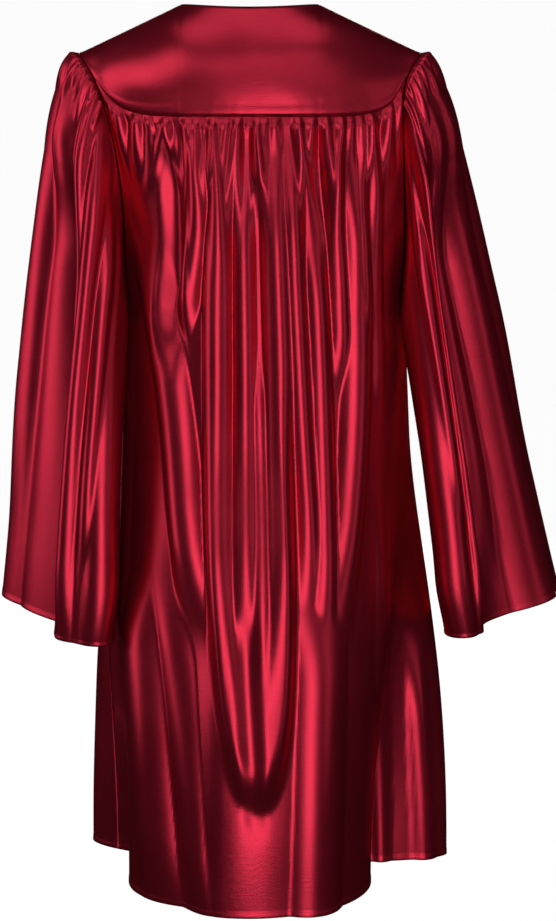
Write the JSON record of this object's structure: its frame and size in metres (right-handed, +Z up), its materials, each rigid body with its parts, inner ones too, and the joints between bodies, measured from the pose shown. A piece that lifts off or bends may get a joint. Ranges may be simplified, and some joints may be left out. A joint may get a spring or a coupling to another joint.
{
  "type": "graduation gown",
  "caption": "Child's satin graduation gown filled out as worn, with a smooth yoke, a gathered back, bell sleeves and a front zip; open at neck, hem and cuffs.",
  "frame": {"origin": "midway between the neck's side points, on the shoulder line, where the wearer's shoulders hold the gown", "axes": "+X to the wearer's left, +Y to the wearer's back, +Z up from the hem to the neck"},
  "size_m": [0.568, 0.4391, 0.8378],
  "materials": {
    "satin": "shiny satin weave",
    "tape": "matt woven tape",
    "coil": "nylon coil",
    "metal": "enamelled in the gown's colour"
  },
  "bodies": {
    "gown": {"yoke_back": "satin", "yoke_front_left": "satin", "yoke_front_right": "satin", "back_panel": "satin", "front_left": "satin", "front_right": "satin", "sleeve_left": "satin", "sleeve_right": "satin", "zip_tape_left": "tape", "zip_tape_right": "tape", "zip_coil": "coil", "zip_slider": "metal"},
    "zip_pull": {"zip_pull": "metal"}
  },
  "joints": [
    {"name": "zip_pull_hinge", "type": "hinge", "parent": "gown", "child": "zip_pull", "pos_m": [0, -0.09838, -0.0862], "axis": [-1, 0, 0], "range_deg": [0, 160]}
  ]
}
